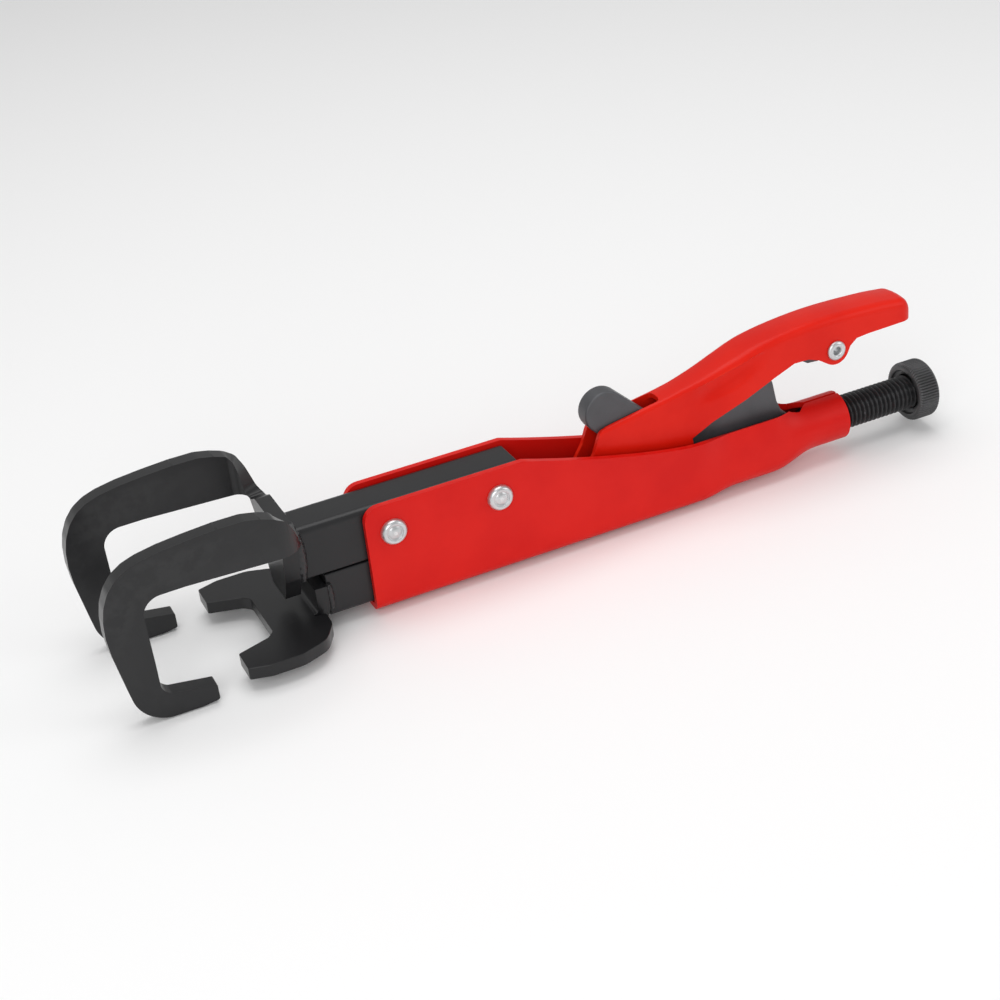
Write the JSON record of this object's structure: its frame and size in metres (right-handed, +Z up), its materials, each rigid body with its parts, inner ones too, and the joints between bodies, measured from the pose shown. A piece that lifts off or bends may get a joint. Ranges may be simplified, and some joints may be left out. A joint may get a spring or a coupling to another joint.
{
  "type": "locking grip clamp",
  "caption": "Linear-action locking grip clamp: a double hook jaw on a sheet steel body, a sliding fork jaw, an over-centre handle with release lever, and an adjusting screw.",
  "frame": {"origin": "centre of the lowest face of the whole clamp's bounding box, level with the lowest point of the hooks", "axes": "+X runs rearward along the adjusting screw, from the hooks to the knob; +Y across the clamp; +Z up, towards the handle"},
  "size_m": [0.2972, 0.0552, 0.0561],
  "materials": {
    "body_paint": "satin red paint on sheet steel",
    "handle_paint": "satin red paint on sheet steel",
    "black_jaw": "black finished forged steel",
    "black_bar": "black finished drawn bar",
    "grey_steel": "grey phosphated steel plate",
    "zinc": "bright zinc plated steel",
    "pin_steel": "plain hardened steel",
    "spring_steel": "oiled spring wire",
    "black_screw": "black oxide on cut thread",
    "black_knob": "black oxide on knurled steel"
  },
  "bodies": {
    "frame": {"body_channel": "body_paint", "fixed_bar": "black_bar", "hook_bracket": "black_jaw", "bracket_weld_near": "black_jaw", "bracket_weld_far": "black_jaw", "front_rivet": "zinc", "rear_rivet": "zinc", "spring_post": "pin_steel", "return_spring": "spring_steel"},
    "slider": {"slide_bar": "black_bar", "fork_jaw": "black_jaw", "fork_weld_near": "black_jaw", "fork_weld_far": "black_jaw", "handle_pivot_pin": "pin_steel"},
    "handle": {"handle_lever": "handle_paint", "link_pivot_pin": "pin_steel", "release_rivet": "zinc", "release_spring": "spring_steel"},
    "link": {"toggle_link": "grey_steel"},
    "release": {"release_lever": "grey_steel"},
    "screw": {"adjusting_screw": "black_screw"},
    "knob": {"screw_knob": "black_knob"}
  },
  "joints": [
    {"name": "knob_turn", "type": "hinge", "parent": "screw", "child": "knob", "pos_m": [0.1446, 0, 0.0129], "axis": [1, 0, 0], "range_deg": [0, 1441]},
    {"name": "screw_travel", "type": "slide", "parent": "frame", "child": "screw", "axis": [1, 0, 0], "range_m": [0, 0.007]},
    {"name": "slide_travel", "type": "slide", "parent": "frame", "child": "slider", "axis": [1, 0, 0], "range_m": [0, 0.0051], "deforming": ["return_spring"]},
    {"name": "handle_swing", "type": "hinge", "parent": "slider", "child": "handle", "pos_m": [0.0166, 0, 0.0129], "axis": [0, -1, 0], "range_deg": [0, 40]},
    {"name": "link_swing", "type": "hinge", "parent": "handle", "child": "link", "pos_m": [0.0486, 0, 0.0134], "axis": [0, 1, 0], "range_deg": [0, 8.05]},
    {"name": "release_press", "type": "hinge", "parent": "handle", "child": "release", "pos_m": [0.1078, 0, 0.0414], "axis": [0, -1, 0], "range_deg": [0, 5], "stiffness_Nm_per_rad": 0.4, "springref_deg": -4.58}
  ],
  "couplings": [
    {"joint": "knob_turn", "follows": "screw_travel", "rad_per_m": 3590.4},
    {"joint": "slide_travel", "follows": "handle_swing", "m_per_rad": 0.0072},
    {"joint": "link_swing", "follows": "handle_swing", "ratio": 0.2}
  ]
}
